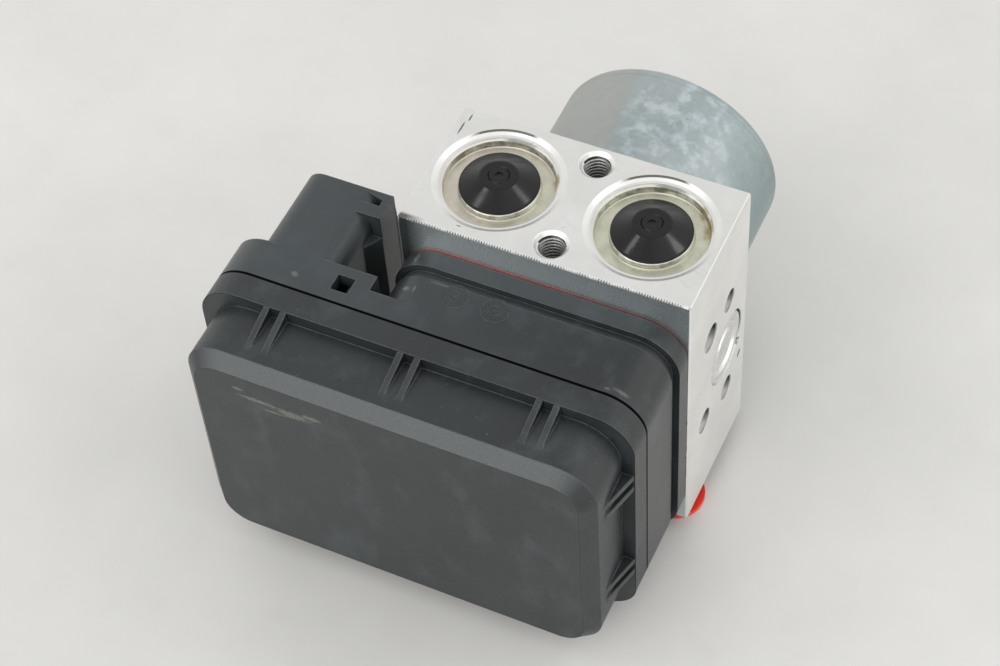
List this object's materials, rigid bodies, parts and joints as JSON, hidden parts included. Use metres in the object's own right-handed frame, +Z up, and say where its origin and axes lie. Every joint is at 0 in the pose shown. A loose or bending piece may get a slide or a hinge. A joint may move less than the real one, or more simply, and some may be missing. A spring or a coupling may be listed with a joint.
{
  "type": "abs brake module",
  "caption": "Anti-lock brake unit: machined hydraulic block with two accumulators, a round pump motor behind it and a ribbed electronic controller with a side plug shroud in front.",
  "frame": {"origin": "centre of the block's top face, midway between its two bracket holes", "axes": "+Z up out of the top face, -Y towards the controller, +Y towards the pump motor, -X towards the plug shroud"},
  "size_m": [0.1309, 0.1484, 0.1051],
  "materials": {
    "block_aluminium": "machined, bright",
    "cover_coating": "satin",
    "cap_plastic": "polished",
    "piston_alloy": "satin",
    "seal_rubber": "matt",
    "spring_steel": "satin",
    "hard_steel": "ground",
    "sleeve_steel": "satin",
    "plug_alloy": "satin",
    "dust_plug_plastic": "soft",
    "can_zinc": "zinc coated, mottled",
    "plate_zinc": "zinc coated",
    "screw_steel": "zinc coated",
    "magnet_ferrite": "matt",
    "core_steel": "stacked sheets",
    "winding_copper": "enamelled wire",
    "commutator_copper": "turned",
    "holder_plastic": "moulded",
    "brush_carbon": "matt",
    "contact_tin": "tin plated",
    "coil_plastic": "moulded",
    "gasket_rubber": "moulded",
    "housing_plastic": "moulded, fine grain",
    "board_laminate": "coated laminate",
    "chip_plastic": "moulded",
    "cover_plastic": "moulded, coarse grain"
  },
  "bodies": {
    "block": {"accumulator_cover_left": "cover_coating", "accumulator_cover_right": "cover_coating", "accumulator_spring_left": "spring_steel", "accumulator_spring_right": "spring_steel", "board_parts": "chip_plastic", "brush_holder": "holder_plastic", "brush_springs": "spring_steel", "brushes": "brush_carbon", "circuit_board": "board_laminate", "controller_cover": "cover_plastic", "controller_gasket": "gasket_rubber", "controller_housing": "housing_plastic", "front_bearing": "hard_steel", "gallery_plugs": "sleeve_steel", "housing_screws": "screw_steel", "hydraulic_block": "block_aluminium", "motor_can": "can_zinc", "motor_end_plate": "plate_zinc", "motor_feed_blades": "contact_tin", "motor_feed_guide": "holder_plastic", "motor_magnets": "magnet_ferrite", "motor_screws": "screw_steel", "nose_bearing": "hard_steel", "plug_pins": "contact_tin", "port_dust_plugs": "dust_plug_plastic", "pump_plug_left": "plug_alloy", "pump_plug_right": "plug_alloy", "pump_sleeve_left": "sleeve_steel", "pump_sleeve_right": "sleeve_steel", "pump_spring_left": "spring_steel", "pump_spring_right": "spring_steel", "rear_bearing": "hard_steel", "solenoid_coils": "coil_plastic", "valve_cartridges": "sleeve_steel", "vent_cap_left": "cap_plastic", "vent_cap_right": "cap_plastic"},
    "rotor": {"rotor_shaft": "hard_steel", "rotor_core": "core_steel", "rotor_windings": "winding_copper", "commutator": "commutator_copper"},
    "bearing_ring": {"eccentric_bearing": "hard_steel"},
    "right_pump_piston": {"pump_piston_right": "hard_steel"},
    "left_pump_piston": {"pump_piston_left": "hard_steel"},
    "right_accumulator_piston": {"accumulator_piston_right": "piston_alloy", "accumulator_seal_right": "seal_rubber"},
    "left_accumulator_piston": {"accumulator_piston_left": "piston_alloy", "accumulator_seal_left": "seal_rubber"}
  },
  "joints": [
    {"name": "rotor_spin", "type": "hinge", "parent": "block", "child": "rotor", "pos_m": [0, 0.045, -0.05], "axis": [0, 1, 0], "continuous": true},
    {"name": "bearing_ring_spin", "type": "hinge", "parent": "rotor", "child": "bearing_ring", "pos_m": [0, 0.0065, -0.0488], "axis": [0, 1, 0], "continuous": true},
    {"name": "right_pump_stroke", "type": "slide", "parent": "block", "child": "right_pump_piston", "axis": [1, 0, 0], "range_m": [0, 0.0024], "stiffness_N_per_m": 4000, "springref_m": -0.003, "deforming": ["pump_spring_right"]},
    {"name": "left_pump_stroke", "type": "slide", "parent": "block", "child": "left_pump_piston", "axis": [-1, 0, 0], "range_m": [0, 0.0024], "stiffness_N_per_m": 4000, "springref_m": -0.003, "deforming": ["pump_spring_left"]},
    {"name": "right_accumulator_stroke", "type": "slide", "parent": "block", "child": "right_accumulator_piston", "axis": [0, 0, 1], "range_m": [0, 0.006], "stiffness_N_per_m": 1500, "springref_m": -0.008, "deforming": ["accumulator_spring_right"]},
    {"name": "left_accumulator_stroke", "type": "slide", "parent": "block", "child": "left_accumulator_piston", "axis": [0, 0, 1], "range_m": [0, 0.006], "stiffness_N_per_m": 1500, "springref_m": -0.008, "deforming": ["accumulator_spring_left"]}
  ]
}
